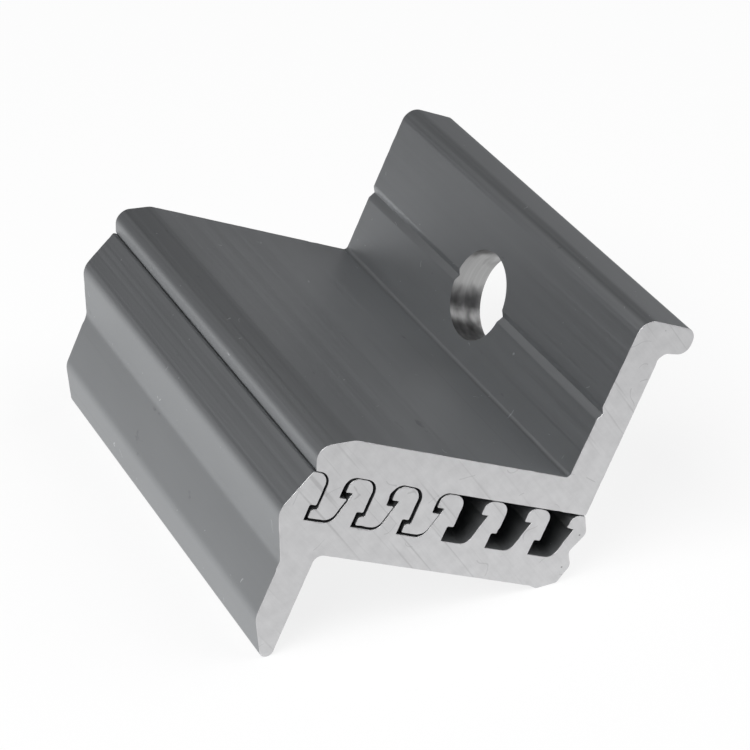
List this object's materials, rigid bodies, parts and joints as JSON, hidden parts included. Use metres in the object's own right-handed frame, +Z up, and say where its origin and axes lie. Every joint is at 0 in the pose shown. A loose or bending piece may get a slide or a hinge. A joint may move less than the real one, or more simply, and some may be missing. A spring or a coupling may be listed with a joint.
{
  "type": "adjustable end clamp for a solar module",
  "caption": "Height-adjustable solar end clamp: a bolt bracket and a clamping jaw, two aluminium extrusions joined by interlocking hooks.",
  "frame": {"origin": "centre of the bolt hole, in the middle of the bolted wall's thickness and of the cut length", "axes": "+Z up as the loose clamp lies on a table, on the tip of its leg and the bead under its rack; +Y along the extrusions and the hooks; +X from the leg towards the bolted wall, whose bolt axis slopes 22.8 degrees from X"},
  "size_m": [0.0432, 0.0478, 0.0265],
  "materials": {
    "bracket_aluminium": "satin extruded skin, sawn ends",
    "jaw_aluminium": "satin extruded skin, sawn ends"
  },
  "bodies": {
    "bolt_bracket": {"bolt_bracket": "bracket_aluminium"},
    "clamping_jaw": {"clamping_jaw": "jaw_aluminium"}
  },
  "joints": [
    {"name": "jaw_slide", "type": "slide", "parent": "bolt_bracket", "child": "clamping_jaw", "axis": [0, 1, 0], "range_m": [-0.047, 0.047]}
  ]
}
